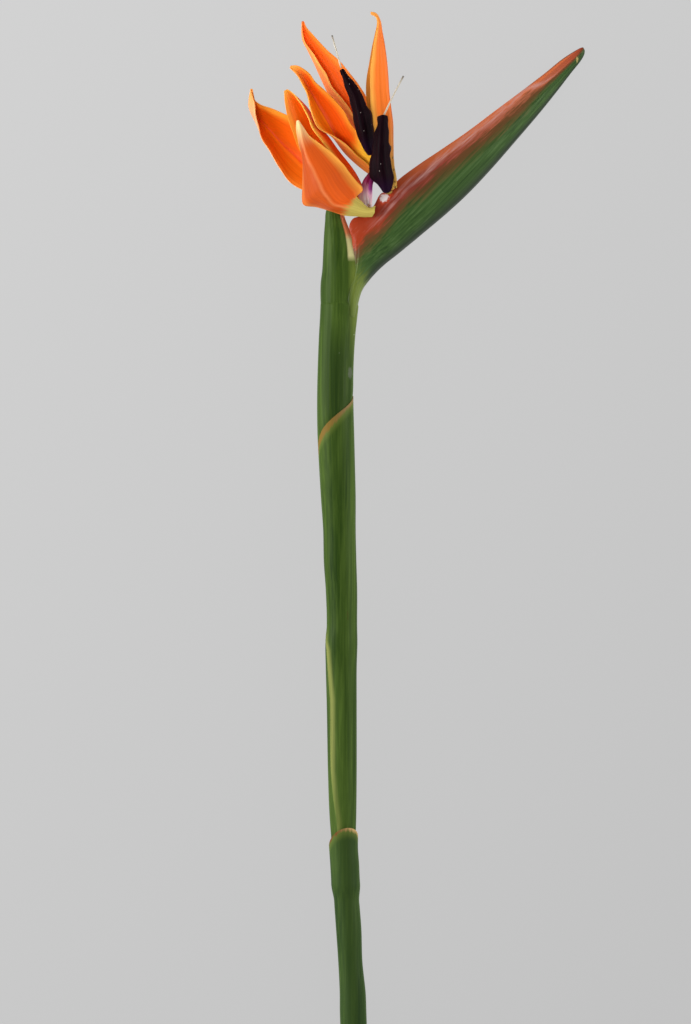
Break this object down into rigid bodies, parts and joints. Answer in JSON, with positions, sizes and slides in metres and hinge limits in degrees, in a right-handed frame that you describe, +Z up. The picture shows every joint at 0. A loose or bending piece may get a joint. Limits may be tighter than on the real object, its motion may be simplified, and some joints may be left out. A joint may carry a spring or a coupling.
{
  "type": "cut bird of paradise flower",
  "caption": "Cut bird of paradise flower lying on a surface: straight sheathed stem, boat-shaped bract and open orange flowers with dark arrow petals.",
  "frame": {"origin": "on the surface that the flower lies on, under the middle of the box round the whole cutting", "axes": "+Y along the stem from the cut end to the flower head, +X the way the boat-shaped bract leans, +Z up from the surface"},
  "size_m": [0.169, 0.6004, 0.0414],
  "materials": {
    "stem": "satin",
    "sheath": "satin",
    "bract": "satin",
    "ovary": "satin",
    "sepal": "satin",
    "arrow_petal": "matte",
    "style": "satin",
    "small_petal": "satin"
  },
  "bodies": {
    "root": {"stem": "stem", "stem_sheath_upper": "sheath", "stem_sheath_lower": "sheath", "spathe": "bract", "inner_bract": "bract", "flower_a_ovary": "ovary", "flower_b_ovary": "ovary", "flower_a_sepal_1": "sepal", "flower_a_sepal_2": "sepal", "flower_a_sepal_3": "sepal", "flower_b_sepal_1": "sepal", "flower_b_sepal_2": "sepal", "flower_b_sepal_3": "sepal", "flower_a_arrow": "arrow_petal", "flower_b_arrow": "arrow_petal", "flower_a_style": "style", "flower_b_style": "style", "flower_a_small_petal": "small_petal", "flower_b_small_petal": "small_petal"}
  },
  "joints": []
}
